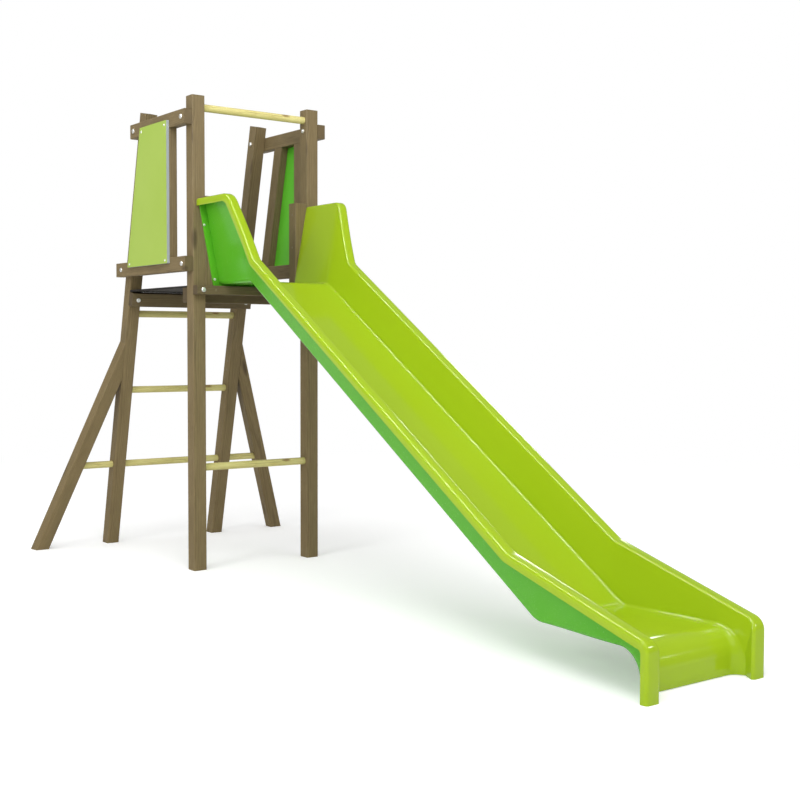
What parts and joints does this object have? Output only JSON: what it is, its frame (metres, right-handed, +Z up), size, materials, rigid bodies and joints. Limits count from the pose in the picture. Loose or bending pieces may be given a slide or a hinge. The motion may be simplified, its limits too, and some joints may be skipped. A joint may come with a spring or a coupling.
{
  "type": "straight playground slide",
  "caption": "Wooden play tower with a leaning rung ladder, railed platform and a straight moulded slide.",
  "frame": {"origin": "on the ground, under the middle of the whole object's bounding box, on the centre plane", "axes": "+X down the slide, from the ladder to the slide's end; +Y to the right-hand side as seen from the slide's foot looking at the tower; +Z up"},
  "size_m": [4.1348, 1.5978, 2.4],
  "materials": {
    "stained_timber": "planed softwood, brown-green stain, softened edges",
    "round_timber": "turned pale pine, pressure-treated",
    "slide_laminate": "glossy lime-green glass-fibre laminate",
    "panel_board": "satin light green coated board",
    "deck_board": "dark anti-slip coated plywood",
    "zinc_steel": "galvanised, domed heads"
  },
  "bodies": {
    "root": {"baluster_screws": "zinc_steel", "bar_screws": "zinc_steel", "beam_screws": "zinc_steel", "deck_screws": "zinc_steel", "front_beam": "stained_timber", "front_beam_bolts": "zinc_steel", "front_beam_nuts": "zinc_steel", "front_joist": "stained_timber", "front_left_post": "stained_timber", "front_right_post": "stained_timber", "front_stretcher": "round_timber", "left_leaning_baluster": "stained_timber", "left_lower_rail": "stained_timber", "left_prop": "stained_timber", "left_side_panel": "panel_board", "left_side_rung": "round_timber", "left_slide_post": "stained_timber", "left_top_rail": "stained_timber", "left_upright_baluster": "stained_timber", "lower_rung": "round_timber", "middle_rung": "round_timber", "panel_screws": "zinc_steel", "platform_deck": "deck_board", "prop_screws": "zinc_steel", "rail_bolts": "zinc_steel", "rail_nuts": "zinc_steel", "rear_beam": "stained_timber", "rear_beam_bolts": "zinc_steel", "rear_beam_nuts": "zinc_steel", "rear_left_post": "stained_timber", "rear_right_post": "stained_timber", "right_leaning_baluster": "stained_timber", "right_lower_rail": "stained_timber", "right_prop": "stained_timber", "right_side_panel": "panel_board", "right_side_rung": "round_timber", "right_slide_post": "stained_timber", "right_top_rail": "stained_timber", "right_upright_baluster": "stained_timber", "side_screws": "zinc_steel", "slide_chute": "slide_laminate", "slide_screws": "zinc_steel", "top_bar": "round_timber", "upper_rung": "round_timber"}
  },
  "joints": []
}
